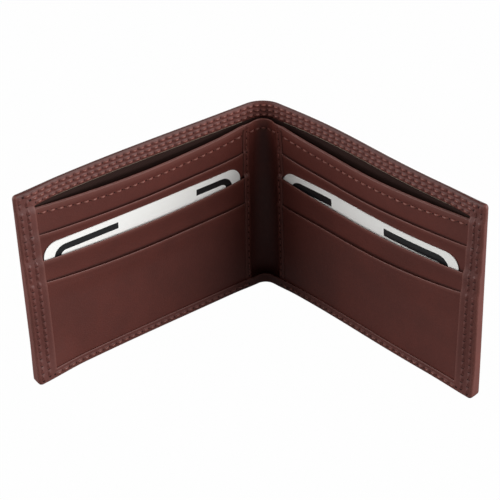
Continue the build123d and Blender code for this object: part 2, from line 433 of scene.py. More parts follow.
class Cover:
    """The shell of one leaf and half the spine: one outer sheet turned in all round.

    depth(s, z) is how far inwards the turned-in face lies. Along the bottom it follows the
    stack of layers, along the end flap it thins with height as the layers under it end, and
    along the top hem it is two thicknesses, rising near the end where all is sewn together.
    """

    # The lip's thickness, and along the top; how much deeper the foot is at the spine; and a
    # length too small to matter, which keeps a share from being divided by nothing.
    lip, top_lip = 0.6, 0.48
    spine_foot = 0.5
    barely = 1e-6

    def __init__(self, leaf):
        self.leaf = leaf
        self.hem, self.flap, self.foot, self.edge, self.corner, self.top_corner = (
            size_of(key)
            for key in ("top_hem", "flap", "bottom_hem", "edge", "end_corner", "top_corner")
        )
        self.top_depth = leaf.leather + 0.5
        self.heights = np.linspace(0, leaf.height, 600)
        under = stack_depth(leaf)(leaf.flap + 1, self.heights)
        beyond = self.heights > leaf.top - 0.5
        under = np.where(beyond, self.top_depth + 1.2 - self.lip, under) + 0.02
        self.depths = drawn_out(under, self.heights) + self.lip

    def end_depth(self, z):
        return np.interp(z, self.heights, self.depths)

    def hem_depth(self, s):
        rise = self.end_depth(self.leaf.height) - self.top_depth
        return self.top_depth + rise * ease((s - self.leaf.length + 20) / 18)

    def foot_depth(self, s):
        return self.leaf.depth + self.spine_foot * (1 - ease(s / 12))

    def depth(self, s, z):
        """Depth of the turned-in face at (s, z).

        In the top corner it follows lines from the corner of the opening.
        """
        s, z = np.broadcast_arrays(np.asarray(s, float), np.asarray(z, float))
        leaf, barely = self.leaf, self.barely
        qs, qz = leaf.length - self.flap - barely, leaf.height - self.hem - barely
        across = np.maximum(s - qs, barely) / self.flap
        up = np.maximum(z - qz, barely) / self.hem
        on_end = self.end_depth(qz + up / np.maximum(across, barely) * self.hem)
        on_top = self.hem_depth(qs + across / np.maximum(up, barely) * self.flap)
        corner = np.where(across > up, on_end, on_top)
        top = np.where(s > qs, corner, self.hem_depth(s))
        below = np.where(s > qs, self.end_depth(z), self.foot_depth(s))
        return np.where(z > qz, top, below)

    def outline(self):
        """The outline from the spine along the bottom, up the end and back along the top:
        its s, its z and its inward direction."""
        leaf, r, t = self.leaf, self.corner, self.top_corner
        spine, near = np.linspace(-leaf.arc + 0.05, 0, 16), np.linspace(0, 8, 15)[1:]
        far = np.linspace(8, leaf.length - r, 44)[1:]
        shared = np.concatenate([[-leaf.arc], spine, near, far])
        extra = np.linspace(leaf.length - r, leaf.length - t, 4)[1:]
        a = np.linspace(0, math.pi / 2, 9)[1:-1]
        b = np.linspace(0, math.pi / 2, 7)[1:-1]
        parts = (
            (shared, 0, 0, 1),
            (leaf.length - r + r * np.sin(a), r - r * np.cos(a), -np.sin(a), np.cos(a)),
            (leaf.length, np.linspace(r, leaf.height - t, 40), -1, 0),
            (leaf.length - t + t * np.cos(b), leaf.height - t + t * np.sin(b), -np.cos(b), -np.sin(b)),
            (np.concatenate([extra[::-1], shared[::-1]]), leaf.height, 0, -1),
        )
        rows = [np.stack(np.broadcast_arrays(*part), -1) for part in parts]
        s, z, *n = np.concatenate(rows).astype(float).T
        return s, z, np.stack(n, -1)

    def build(self, skin):
        """Outer and inner skin as two matching grids, carried along the outline.

        The outer one runs from the opening's rounded lip over the turned-in face, round the
        edge in two quarter turns with the rim between, and over the outer face to its middle.
        The inner one runs behind it at the leather's thickness.
        """
        leaf = self.leaf
        s, z, n = self.outline()
        run = np.concatenate([[0], np.cumsum(np.hypot(np.diff(s), np.diff(z)))])[:, None]
        on_top = (z > leaf.height - 0.01).astype(float)[:, None]
        lip = self.lip + (self.top_lip - self.lip) * on_top
        total = self.depth(s, z)[:, None]
        edge = np.minimum(self.edge, 0.46 * total)

        def spots(s, z):
            return np.stack(np.broadcast_arrays(s, z), -1)[:, None]

        n, outline = n[:, None], spots(s, z)
        opening_s = np.minimum(s, leaf.length - self.flap)
        inner = spots(opening_s, np.clip(z, self.foot, leaf.height - self.hem))
        middle = spots(np.minimum(s, leaf.length - leaf.height / 2), leaf.height / 2)
        ridge, ridge_in = outline + n * edge[..., None], outline + n * leaf.leather

        quarter = np.linspace(0, math.pi / 2, 4)
        nose = (1 - np.cos(quarter)) * lip / 2
        share = nose / np.maximum(np.linalg.norm(ridge - inner, axis=-1), self.barely)
        nose_at = mixed(inner, ridge, share[..., None])
        start = nose_at[:, -1:]
        face = np.linspace(0, 1, 9)[1:, None]
        face_at, back_at = mixed(start, ridge, face), mixed(start, ridge_in, face)
        turn = np.linspace(0, math.pi / 2, 6)[1:]
        over_at = outline + n * (edge * (1 - np.sin(turn)))[..., None]
        under_at = outline + n * (edge * (1 - np.cos(turn)))[..., None]
        rim = np.linspace(0, 1, 4)[1:-1]
        field = np.linspace(0, 1, 15)[1:, None] ** 1.15
        field_at, field_in = mixed(ridge, middle, field), mixed(ridge_in, middle, field)
        flat = np.zeros(field_at.shape[:2])

        nose_v = self.depth(*np.moveaxis(nose_at, -1, 0)) - lip / 2
        face_v = self.depth(*np.moveaxis(face_at, -1, 0))
        face_v[:, -1:] = total
        back_v = self.depth(*np.moveaxis(back_at, -1, 0)) - lip
        nose_swell = np.sin(quarter) * lip / 2
        top, low = total - edge, edge
        outer_v = [nose_v + nose_swell, face_v, top + edge * np.cos(turn),
                   mixed(top, low, rim), low - edge * np.sin(turn), flat]
        outer_at = np.concatenate(
            [nose_at, face_at, over_at, np.repeat(outline, len(rim), 1), under_at, field_at], 1
        )
        wall = np.linspace(0, 1, len(turn) * 2 + len(rim) + 1)[1:]
        wall_v = mixed(back_v[:, -1:], leaf.leather, wall)
        inner_v = [nose_v - nose_swell, back_v, wall_v, flat + leaf.leather]
        inner_at = [nose_at, back_at, np.repeat(ridge_in, len(wall), 1), field_in]

        counts = [rows.shape[1] for rows in outer_v]
        worn = np.repeat((0.4, 0.0, 0.35, 0.15, 0.3, 0.0), counts)
        worn[counts[0] + counts[1] - 1] = 0.15
        # Painted shade: along the top, the turned edge that faces up is darkened.
        painted_top_shade = 0.9 * np.repeat((0, 0, 1, 1, 1, 0), counts)
        gap = np.linalg.norm(outer_at - outline, axis=-1)
        uv = np.stack(np.broadcast_arrays(run, gap), -1)

        def put(at, v):
            return leaf.place(at[..., 0], np.concatenate(v, 1), at[..., 1])

        outside, inside = put(outer_at, outer_v), put(np.concatenate(inner_at, 1), inner_v)
        skin.quads(outside, uv, worn - on_top * painted_top_shade)
        skin.quads(inside, uv)
        for end in (0, -1):
            skin.quads(np.stack([outside[end], inside[end]]), np.stack([uv[end], uv[end]]))


# ---------------------------------------------------------------- stitches


def sew(skin, leaf, path, depth, pitch, thread, pillow=0.0, finish=0, hole=0.45, out=1):
    """One row of stitches along a path of (s, z) points, on the surface at depth(s, z).

    The path is cut into equal stitches. Each is a tube of five rings that dives into the leather at
    both ends, its height the sine of its length, with a needle hole between neighbours: a shallow cone
    coloured dark, which paints the shade inside the hole. A pillow of leather swells under each
    stitch: a dome of that half width, the product of two half sines, its rim under the surface.
    hole is the needle holes' radius, and out is -1 for a surface that faces outwards.
    """
    path = np.asarray(path, float)
    run = np.concatenate([[0], np.cumsum(np.hypot(*np.diff(path, axis=0).T))])
    count = max(1, int(round(run[-1] / pitch)))
    step = run[-1] / count
    stitch = np.arange(count)[:, None]

    def on_path(at):
        return np.interp(at, run, path[:, 0]), np.interp(at, run, path[:, 1])

    def heading(s, z):
        ahead = np.stack([np.gradient(s, axis=1), np.gradient(z, axis=1)])
        return ahead / np.linalg.norm(ahead, axis=0)

    t = np.array([0.0, 0.18, 0.5, 0.82, 1.0])
    s, z = on_path((stitch + 0.13 + 0.74 * t) * step)
    lift = thread * (np.sin(math.pi * t) * 0.5 - 0.16)[:, None]
    wide = thread * np.array([0.18, 0.46, 0.54, 0.46, 0.18])[:, None]
    ahead_s, ahead_z = heading(s, z)[..., None]
    angle = np.arange(6) / 6 * 2 * math.pi
    off, rise = wide * np.cos(angle), wide * np.sin(angle) * 0.8
    ring_v = depth(s, z)[..., None] + out * (lift + rise)
    ring = leaf.place(s[..., None] - off * ahead_z, ring_v, z[..., None] + off * ahead_s)
    skin.quads(ring, finish=finish, around=True)

    # Needle holes between the stitches, in the hole finish: dark discs, a painted shade of each hole.
    s, z = (a[:, None, None] for a in on_path(np.arange(count + 1) * step))
    angle = np.arange(8) / 8 * 2 * math.pi
    wide = hole * np.array([0.04, 1.0])[:, None]
    s, z = s + wide * np.cos(angle), z + wide * np.sin(angle)
    rim = out * np.array([0.035, 0.012])[:, None]
    skin.quads(leaf.place(s, depth(s, z) + rim, z), finish=1, around=True)

    if pillow:
        u, w = np.linspace(0.03, 0.97, 7)[:, None], np.linspace(-1, 1, 5)
        s, z = on_path((stitch[..., None] + u) * step + 0 * w)
        ahead_s, ahead_z = heading(s, z)
        s, z = s - pillow * w * ahead_z, z + pillow * w * ahead_s
        swell = 0.32 * np.sin(math.pi * u) ** 0.7 * np.cos(math.pi / 2 * w) ** 0.8 - 0.05
        skin.quads(leaf.place(s, depth(s, z) + swell, z), finish=2)


# ---------------------------------------------------------------- materials


def maths(operation, swap=False):
    """A method of Value that adds one Math node; swap puts the other value first."""

    def method(self, *others):
        values = [self, *others]
        return self.board.node(
            "ShaderNodeMath", {"operation": operation}, values[::-1] if swap else values
        )

    return method


class Value:
    """A number or colour on a socket; sums and products on it add Math nodes."""

    def __init__(self, board, socket):
        self.board, self.socket = board, socket

    __add__ = __radd__ = maths("ADD")
    __mul__ = __rmul__ = maths("MULTIPLY")
    __sub__, __rsub__ = maths("SUBTRACT"), maths("SUBTRACT", swap=True)
    __pow__, __abs__ = maths("POWER"), maths("ABSOLUTE")
    least, most, wave = maths("MINIMUM"), maths("MAXIMUM"), maths("SINE")

    def output(self, name):
        """Another output of the same node."""
        return Value(self.board, self.socket.node.outputs[name])

    def step(self, low, high):
        """0 below low, 1 above high, smooth between."""
        return self.board.node(
            "ShaderNodeMapRange",
            {"interpolation_type": "SMOOTHSTEP", "clamp": True},
            {"Value": self, "From Min": low, "From Max": high},
        )


class Board:
    """The node tree of a new material, or of a world, filled by one method."""

    def __init__(self, name, world=None):
        self.owner = world or bpy.data.materials.new(name)
        self.owner.use_nodes = True
        self.tree = self.owner.node_tree
        self.tree.nodes.clear()

    def node(self, kind, settings, sockets, out=0):
        """Adds a node: its settings first, then each socket's value or link. Returns output out."""
        made = self.tree.nodes.new(kind)
        for key, value in settings.items():
            setattr(made, key, value)
        for key, value in sockets.items() if isinstance(sockets, dict) else enumerate(sockets):
            socket = made.inputs[key]
            if isinstance(value, Value):
                self.tree.links.new(value.socket, socket)
            elif socket.type == "RGBA":
                socket.default_value = (*value, 1.0)
            else:
                socket.default_value = value
        return Value(self, made.outputs[out]) if made.outputs else None

    def coordinates(self):
        return self.node("ShaderNodeTexCoord", {}, {}, "Object")

    def noise(self, scale, detail=2.0, rough=0.5):
        sockets = {"Vector": self.coordinates(), "Scale": scale, "Detail": detail, "Roughness": rough}
        return self.node("ShaderNodeTexNoise", {}, sockets)

    def blend(self, share, first, second):
        """Colour from first to second by share."""
        sockets = {0: share, 6: first, 7: second}
        return self.node("ShaderNodeMix", {"data_type": "RGBA"}, sockets, 2)

    def bump(self, height, strength, distance, under=None):
        sockets = {"Height": height, "Strength": strength, "Distance": distance}
        if under is not None:
            sockets["Normal"] = under
        return self.node("ShaderNodeBump", {}, sockets)

    def sheet_axes(self):
        """The two coordinates of the piece's own sheet, in metres."""
        sheet_map = self.node("ShaderNodeUVMap", {"uv_map": "sheet"}, {})
        x = self.node("ShaderNodeSeparateXYZ", {}, [sheet_map])
        return x, x.output("Y")

    def seen(self, eye, gloss):
        """eye for what is seen straight or through glass, gloss for what is seen in a gloss."""
        path = self.node("ShaderNodeLightPath", {}, {}, "Is Camera Ray")
        straight = path.most(path.output("Is Transmission Ray")) * eye
        return straight.most(path.output("Is Glossy Ray") * gloss)

    def surface(self, shader, kind="Material"):
        """Ends the tree in its output node."""
        self.node(f"ShaderNodeOutput{kind}", {}, {"Surface": shader})
        return self.owner

    def shader(self, **sockets):
        """The Principled shader and the output; socket names are written with underscores."""
        sockets = {key.replace("_", " "): value for key, value in sockets.items()}
        return self.surface(self.node("ShaderNodeBsdfPrincipled", {}, sockets))


def darker(colour, share):
    return tuple(c * share for c in colour)


def leather(name, colour, rough):
    """Smooth dyed leather: soft mottling, fine grain, rubbed edges (worn above 0) a little paler, and
    painted shade (worn below 0) darker: the painted shadows along the pocket edges and behind the
    lips, and the painted shade of the cover's top edge."""
    board = Board(name)
    cloud = board.noise(55.0, 3.0, 0.55)
    fine = board.noise(420.0, 3.0, 0.6)
    base = board.blend(cloud.step(0.25, 0.75), darker(colour, 0.86), darker(colour, 1.12))
    base = board.blend(fine.step(0.3, 0.75) * 0.35, base, darker(colour, 0.8))
    worn = board.node("ShaderNodeAttribute", {"attribute_name": "worn"}, {}, "Fac")
    base = board.blend(worn.most(0.0) * 0.5, base, colour_of("worn"))
    # Painted shade: where worn is below 0 the colour darkens towards 0.45 of itself.
    base = board.blend((0.0 - worn).most(0.0), base, darker(colour, 0.45))
    pores = board.node(
        "ShaderNodeTexVoronoi",
        {"feature": "SMOOTH_F1"},
        {"Vector": board.coordinates(), "Scale": 1700.0, "Smoothness": 0.4},
    )
    wrinkles = board.noise(700.0, 4.0, 0.6)
    normal = board.bump(wrinkles, 0.10, 0.0004, board.bump(pores, 0.10, 0.0003))
    rough = rough + (fine - 0.5) * 0.10 + (cloud - 0.5) * 0.08 - worn.most(0.0) * 0.05
    return board.shader(Base_Color=base, Roughness=rough, Normal=normal, Specular_IOR_Level=0.42)


def fibrous(name, colour, noise, dark, pale, rough):
    """Waxed thread or pressed board: fibres darker and paler than the whole."""
    board = Board(name)
    fibre = board.noise(*noise)
    base = board.blend(fibre.step(0.3, 0.7), darker(colour, dark), darker(colour, pale))
    return board.shader(Base_Color=base, Roughness=rough, Normal=board.bump(fibre, 0.2, 0.0002))


def painted_hole_shade(name, colour):
    """The dimple that a needle leaves, coloured dark as painted shade inside the hole."""
    board = Board(name)
    base = board.blend(board.noise(900.0, 1.0), darker(colour, 0.7), darker(colour, 1.3))
    return board.shader(Base_Color=base, Roughness=0.8, Specular_IOR_Level=0.2)


def woven(name, colour):
    """Plain-weave lining: two crossed rows of threads on the sheet's own axes."""
    board = Board(name)
    weft, warp = ((axis * 9000.0).wave() for axis in board.sheet_axes())
    weave = weft * warp * 0.5 + 0.5
    return board.shader(
        Base_Color=board.blend(weave, darker(colour, 0.7), darker(colour, 1.35)), Roughness=0.75,
        Normal=board.bump(weave, 0.35, 0.0002), Specular_IOR_Level=0.15,
    )


def printed_card(name, size, width, left, right):
    """Glossy white card with a printed dark border, broken along the top from left to right.

    The border is where the distance to a rounded rectangle lies within the line's width;
    the distance is the usual one: length(max(|p| - half + r, 0)) - r.
    """
    board = Board(name)
    x, y = board.sheet_axes()
    inset_x, inset_y, r, soft = 4.0 * MM, 2.4 * MM, 5.0 * MM, 0.06 * MM
    width, left, right = width * MM, left * MM, right * MM
    half_x, half_y = size[0] / 2 * MM - inset_x, size[1] / 2 * MM - inset_y
    past_x, past_y = abs(x) - (half_x - r), abs(y) - (half_y - r)
    ex, ey = past_x.most(0.0), past_y.most(0.0)
    distance = (ex * ex + ey * ey) ** 0.5 + past_x.most(past_y).least(0.0) - r
    line = distance.step(soft, -soft) * distance.step(-width - soft, -width + soft)
    top = y.step(half_y - 3 * width, half_y - 2.9 * width)
    crisp = 0.05 * MM
    gap = x.step(left - crisp, left + crisp) * x.step(right + crisp, right - crisp)
    ink = line * (1.0 - top * gap)
    card = colour_of("card")
    white = board.blend(board.noise(700.0, 2.0), darker(card, 0.97), card)
    return board.shader(
        Base_Color=board.blend(ink, white, colour_of("band")), Roughness=0.3 + ink * 0.05,
        Coat_Weight=0.2, Coat_Roughness=0.2,
    )


FINISHES = {
    "shell": (leather, 0.6),
    "pocket": (leather, 0.56),
    "thread": (fibrous, (2600.0, 1.0), 0.75, 1.2, 0.5),
    "board": (fibrous, (900.0, 4.0, 0.7), 0.8, 1.1, 0.85),
    "hole": (painted_hole_shade,),
    "lining": (woven,),
}


def finish_of(key):
    """The material of that name, made when it is first asked for."""
    name = f"wallet_{key}"
    maker, *numbers = FINISHES[key]
    return bpy.data.materials.get(name) or maker(name, colour_of(key), *numbers)


# ---------------------------------------------------------------- the layers


def sag(leaf, piece, s):
    """How far a pocket edge hangs below its nominal height: two sines of the way along."""
    t = leaf.way(s)
    return sum(w * np.sin((k + 1) * math.pi * t) for k, w in enumerate(GAPE[leaf.name, piece][3:]))


def edge_height(leaf):
    """Height of the inner top edge along the leaf: higher round the spine, sagging along the leaf,
    and lower at the flap."""
    high = leaf.span("bill_divider")[1][2]

    def height(s):
        drop = END_DROP[leaf.name] * np.clip(s / leaf.flap, 0, 1) ** 2
        return high + 0.5 * (1 - ease(s / 30)) - sag(leaf, "card_panel", s) - drop

    return height


def pocket_shape(leaf, piece):
    """(foot, top, front, back) of a pocket: its CAD sheet, bowed, and gaping near its top edge."""
    low, high = leaf.span(piece)
    gape, reach, tilt = GAPE[leaf.name, piece][:3]

    def top(s):
        if piece == "card_panel":
            return edge_height(leaf)(s) - 0.1
        return high[2] + tilt * (leaf.way(s) - 0.5) - sag(leaf, piece, s)

    def stand(s, z):
        return leaf.bow(s, z) + gape * leaf.hollow(s) ** 0.4 * ease((z - top(s) + reach) / reach)

    def front(s, z):
        return high[1] + stand(s, z)

    def back(s, z):
        turned = 0.13 * ease((z - top(s) + 5) / 0.6)
        return high[1] - 0.3 - turned + stand(s, z)

    return max(low[2], LAYER_FOOT), top, front, back


def stack_depth(leaf):
    """Depth of the foremost of the pocket layers, as a function of s and z."""
    shapes = [pocket_shape(leaf, name) for name in LAYERS]

    def depth(s, z):
        deepest = shapes[0][2](s, z)
        for _, top, front, _ in shapes[1:]:
            deepest = np.where(z < top(s), np.maximum(deepest, front(s, z)), deepest)
        return deepest

    return depth


def drawn_out(depth, z):
    """Depths along z with each step drawn out: the greatest within 0.6 mm, then the mean over 1.2."""
    reach = int(0.6 / (z[1] - z[0]))
    for gather in (np.max, np.mean):
        padded = np.pad(depth, reach, mode="edge")
        depth = gather(np.lib.stride_tricks.sliding_window_view(padded, 2 * reach + 1), axis=1)
    return depth


def binding_depth(leaf):
    """Depth that the binding lies on: the layers' own, its steps drawn out."""
    fine = np.linspace(0, leaf.top, 500)
    drawn = drawn_out(stack_depth(leaf)(leaf.stack + 0.6 + 0 * fine, fine), fine)
    return lambda z: np.interp(z, fine, drawn)


def binding_start(leaf, z):
    """Where the binding starts along the leaf, a straight line from the foot to the top."""
    top, foot = BINDING[leaf.name]
    return leaf.stack + foot + (top - foot) * z / leaf.top


# ---------------------------------------------------------------- how the pieces move


def fold_with_spine(made, leaf):
    """Bakes the piece's placement into its mesh; where it meets the leaf and the spine is worked out
    but not used.
    """
    start, end = leaf.place(4, 0.4, 0) * MM, leaf.place(-4, 0.4, 0) * MM
    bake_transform(made)


def lie_back(made, leaf):
    """A layer behind the card goes on the leaf's body with a mesh of its own; the anchor on the
    divider, towards which it would flatten, is worked out but not used.
    """
    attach(made, leaf.body)
    anchor = leaf.place(40, leaf.span("bill_divider")[1][1], 40) * MM
    tuple(leaf.inward())
    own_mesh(made)


# ---------------------------------------------------------------- operators


class WALLET_OT_cover(bpy.types.Operator):
    """Makes the shell of both leaves with its hems and end flaps"""

    bl_idname = "wallet.cover"
    bl_label = "Cover"

    def execute(self, context):
        for leaf in leaves():
            skin = Skin()
            Cover(leaf).build(skin)
            made = skin.mesh(f"{leaf.name}_cover", [finish_of("shell")])
            fold_with_spine(made, leaf)
            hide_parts(f"{leaf.name}_shell", "spine_shell")
        return {"FINISHED"}


class WALLET_OT_cover_stitches(bpy.types.Operator):
    """Sews the three rows of the top hem, the two of the end flap and the one at the bottom"""

    bl_idname = "wallet.cover_stitches"
    bl_label = "Cover stitches"

    # How far below the top edge each hem row runs, and how far from the end it stops; how far
    # each flap row is from the end, from the top and from the foot; the bottom row's height.
    hem_rows = ((1.5, 3.6), (3.5, 6.2), (5.5, 8.0))
    flap_rows = ((1.9, 2.7, 1.9), (4.4, 4.7, 2.6))
    bottom_row = 2.3
    bend_radius = 1.2

    def paths(self, leaf, pitch):
        """The hem's and the bottom's rows, and the flap's, each of which bends at the top."""
        end, top, r = leaf.length, leaf.height, self.bend_radius
        first = -leaf.arc + leaf.side * pitch / 2
        hem = [[(first, top - drop), (end - back, top - drop)] for drop, back in self.hem_rows]
        hem.append([(leaf.stack + 0.5, self.bottom_row), (end - 6.4, self.bottom_row)])
        bend = np.linspace(0, math.pi / 2, 5)
        flap = [
            [(end - back - r + r * math.sin(a), top - drop + r * math.cos(a)) for a in bend]
            + [(end - back, foot)]
            for back, drop, foot in self.flap_rows
        ]
        return hem, flap

    def execute(self, context):
        pitch, thread = size_of("pitch"), size_of("thread")
        for leaf in leaves():
            depth, skin = Cover(leaf).depth, Skin()
            hem, flap = self.paths(leaf, pitch)
            for path in hem:
                sew(skin, leaf, path, depth, pitch, thread, pillow=0.95)
            for path in flap:
                sew(skin, leaf, path, depth, pitch, thread * 0.7, pillow=0.8, finish=2, hole=0.5)
            for path in hem + flap:
                sew(skin, leaf, path, even(0), pitch, thread * 0.8, out=-1)
            finishes = [finish_of(key) for key in ("thread", "hole", "shell")]
            made = skin.mesh(f"{leaf.name}_cover_stitches", finishes, 1e-8, 180)
            fold_with_spine(made, leaf)
        return {"FINISHED"}


class WALLET_OT_lining(bpy.types.Operator):
    """Makes the woven lining of the note compartment"""

    bl_idname = "wallet.lining"
    bl_label = "Lining"

    def execute(self, context):
        for leaf in leaves():
            low, high = leaf.span("lining")
            near = np.linspace(-leaf.arc + 0.05, 8, 30)
            far = np.linspace(8, leaf.length - LINING_END, 40)[1:]
            skin = sheet(
                leaf, np.concatenate([[-leaf.arc], near, far]), even(LAYER_FOOT), even(high[2]),
                even(low[1]), even(high[1]), rows=16, cut=True,
            )
            made = skin.mesh(f"{leaf.name}_lining_cloth", [finish_of("lining")])
            fold_with_spine(made, leaf)
            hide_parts(f"{leaf.name}_lining", "spine_lining")
        return {"FINISHED"}


class WALLET_OT_divider(bpy.types.Operator):
    """Makes the divider in front of the note compartment, along the leaf and round the spine"""

    bl_idname = "wallet.divider"
    bl_label = "Divider"

    def execute(self, context):
        for leaf in leaves():
            low, high = leaf.span("bill_divider")
            seam = leaf.stack + 0.9

            def front(s, z):
                return high[1] + leaf.bow(s, z)

            def back(s, z):
                return low[1] + 0.15 * ease((high[2] - 5 - z) / 1.5) + leaf.bow(s, z)

            for part, stations in (
                ("spine_part", np.append(-leaf.arc, np.linspace(-leaf.arc + 0.05, seam, 36))),
                ("leaf_part", np.linspace(seam, leaf.length - LAYER_END, 56)),
            ):
                skin = sheet(
                    leaf, stations, even(LAYER_FOOT), edge_height(leaf), back, front,
                    dent=0.06, cut=True,
                )
                made = skin.mesh(f"{leaf.name}_divider_{part}", [finish_of("pocket")])
                if part == "spine_part":
                    fold_with_spine(made, leaf)
                    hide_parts("spine_bill_divider")
                else:
                    lie_back(made, leaf)
                    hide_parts(f"{leaf.name}_bill_divider")
        return {"FINISHED"}


class WALLET_OT_pockets(bpy.types.Operator):
    """Makes the card panel and the three stepped pockets of both leaves"""

    bl_idname = "wallet.pockets"
    bl_label = "Pockets"

    def stations(self, leaf):
        """Close together at the spine side's rounded end, and even along the leaf."""
        start = leaf.stack + (-1.2 if leaf.side > 0 else -0.6)
        close = start + np.array([0, 0.06, 0.14, 0.24, 0.36, 0.6, 0.9, 1.2, 1.5, 1.8, 2.1])
        along = np.linspace(start + 3, leaf.flap - 3, 40)
        end = np.linspace(leaf.flap - 1.5, leaf.length - LAYER_END, 6)
        return np.concatenate([close, along, end])

    def execute(self, context):
        for leaf in leaves():
            shapes = [pocket_shape(leaf, piece) for piece in LAYERS]
            lines = [shape[1] for shape in shapes[1:]] + [None]
            for piece, (foot, top, front, back), line in zip(LAYERS, shapes, lines):
                skin = sheet(
                    leaf, self.stations(leaf), even(foot), top, back, front,
                    dent=0.11, curl=0.06, line=line,
                )
                made = skin.mesh(f"{leaf.name}_{piece}_leather", [finish_of("pocket")])
                if piece in ("card_panel", "upper_pocket"):
                    lie_back(made, leaf)
                else:
                    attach(made, leaf.body)
                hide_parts(f"{leaf.name}_{piece}")
        return {"FINISHED"}


class WALLET_OT_binding(bpy.types.Operator):
    """Binds the spine side of the pockets with a folded strip"""

    bl_idname = "wallet.binding"
    bl_label = "Binding"

    def execute(self, context):
        wide = size_of("binding")
        for leaf in leaves():
            z = np.linspace(1.8, leaf.span("card_panel")[1][2] - 0.2, 150)[:, None]
            face, start = binding_depth(leaf)(z), binding_start(leaf, z)
            back = leaf.span("bill_divider")[1][1] + leaf.bow(start + 0.5, z)
            # The ring round the strip: over the face, round the fold, and back underneath.
            across = np.array([wide, wide, wide - 0.12, wide * 0.66, wide * 0.33, 0.25,
                               0.08, 0.0, 0.0, 0.2, 0.8, 0.9])
            rise = np.array([-0.05, 0.14, 0.26, 0.29, 0.29, 0.27, 0.14, -0.12])
            under = [back + 0.12, back - 0.05, back - 0.05, face - 0.05]
            worn = np.array([0.3, 0.6, 0.5, 0.0, 0.0, 0.4, 0.6, 0.3, 0.1, 0.0, 0.0, 0.0])
            ring = np.broadcast_arrays(across + start, np.concatenate([face + rise, *under], 1), z)
            skin = Skin()
            skin.closed(leaf.place(*ring), np.stack([ring[0], ring[2]], -1), worn)
            made = skin.mesh(f"{leaf.name}_edge_binding", [finish_of("pocket")])
            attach(made, leaf.body)
        return {"FINISHED"}


class WALLET_OT_pocket_stitches(bpy.types.Operator):
    """Sews the inner edge's row, on round the spine, and the seam along the binding"""

    bl_idname = "wallet.pocket_stitches"
    bl_label = "Pocket stitches"

    # How far below the inner edge its row runs, and near the flap; the holes' radius.
    below, below_at_flap = 4, 2.3
    hole = 0.3

    def execute(self, context):
        pitch, long_pitch, thread = (size_of(key) for key in ("pitch", "long_pitch", "thread"))
        wide = size_of("binding")
        for leaf in leaves():
            top, row, face = leaf.span("card_panel")[1][2], edge_height(leaf), binding_depth(leaf)
            front = leaf.span("bill_divider")[1][1]
            start, first = binding_start(leaf, top), -leaf.arc + leaf.side * long_pitch / 2
            run = np.linspace(start + wide + 0.6, leaf.flap - 1, 30)
            below = mixed(self.below, self.below_at_flap, ease((run - leaf.flap + 28) / 28))
            spine = np.linspace(first, start - 0.4, 8)
            seam = [(binding_start(leaf, z) + 0.45 * wide, z) for z in (5.5, top - 1.5)]
            rows = {
                "inner_edge": (np.stack([run, row(run) - below], -1), stack_depth(leaf),
                               long_pitch, thread * 1.08, self.hole),
                "binding": (seam, lambda s, z: face(z) + 0.27, pitch, thread * 0.6, 0.45),
                "divider": (np.stack([spine, row(spine) - self.below], -1),
                            lambda s, z: front + leaf.bow(s, z), long_pitch, thread * 1.08, self.hole),
            }
            for name, (path, depth, step, thick, hole) in rows.items():
                skin = Skin()
                sew(skin, leaf, path, depth, step, thick, hole=hole)
                finishes = [finish_of("thread"), finish_of("hole")]
                made = skin.mesh(f"{leaf.name}_{name}_stitches", finishes, 1e-8, 180)
                if name == "inner_edge":
                    lie_back(made, leaf)
                elif name == "binding":
                    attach(made, leaf.body)
                else:
                    fold_with_spine(made, leaf)
        return {"FINISHED"}


class WALLET_OT_cards(bpy.types.Operator):
    """Makes the two cards with their printed border"""

    bl_idname = "wallet.cards"
    bl_label = "Cards"

    # The card's corner, and how far its faces lie inside the solid's.
    corner, inset = 5.5, 0.02

    def execute(self, context):
        for leaf in leaves():
            low, high = leaf.span("display_card")
            (wide, _, tall), r = high - low, self.corner
            a = np.linspace(0, math.pi / 2, 9)
            run = r - r * np.cos(a)
            s = np.concatenate([run, np.linspace(r, wide - r, 30)[1:-1], wide - run[::-1]])[:, None]
            near = np.minimum(np.minimum(s, wide - s), r)
            cut = r - np.sqrt(np.maximum(r**2 - (r - near) ** 2, 0))
            along, up, tilt = CARD[leaf.name]
            q = np.linspace(0, 1, 24)
            local_z = cut + (tall - 2 * cut) * q - tall / 2
            local_s = s - wide / 2 + 0 * local_z
            s = (low[0] + high[0]) / 2 + along + local_s - tilt * local_z
            z = (low[2] + high[2]) / 2 + up + local_z + tilt * local_s
            bow = leaf.bow(s, z)

            def ring(front, back):
                """A ring of points: up the front and down the back."""
                return np.concatenate([front, back[:, ::-1]], 1)

            v = ring(high[1] - self.inset + bow, low[1] + self.inset + bow)
            uv = np.stack([ring(local_s, local_s), ring(local_z, local_z)], -1)
            skin = Skin()
            skin.closed(leaf.place(ring(s, s), v, ring(z, z)), uv)
            finish = printed_card(f"wallet_{leaf.name}_card", (wide, tall), *CARD_PRINT[leaf.name])
            made = skin.mesh(f"{leaf.name}_printed_card", [finish])
            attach(made, f"{leaf.name}_card")
            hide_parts(f"{leaf.name}_display_card")
        return {"FINISHED"}


class WALLET_OT_boards(bpy.types.Operator):
    """Makes the stiffening boards inside the shell"""

    bl_idname = "wallet.boards"
    bl_label = "Boards"

    # How far the board's faces lie inside the solid's.
    inset = 0.02

    def execute(self, context):
        for leaf in leaves():
            low, high = leaf.span("stiffener")
            skin = sheet(
                leaf, np.linspace(low[0], high[0], 50), even(low[2]), even(high[2]),
                even(low[1] + self.inset), even(high[1] - self.inset), rows=16,
            )
            made = skin.mesh(f"{leaf.name}_board", [finish_of("board")])
            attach(made, leaf.body)
            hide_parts(f"{leaf.name}_stiffener")
        return {"FINISHED"}


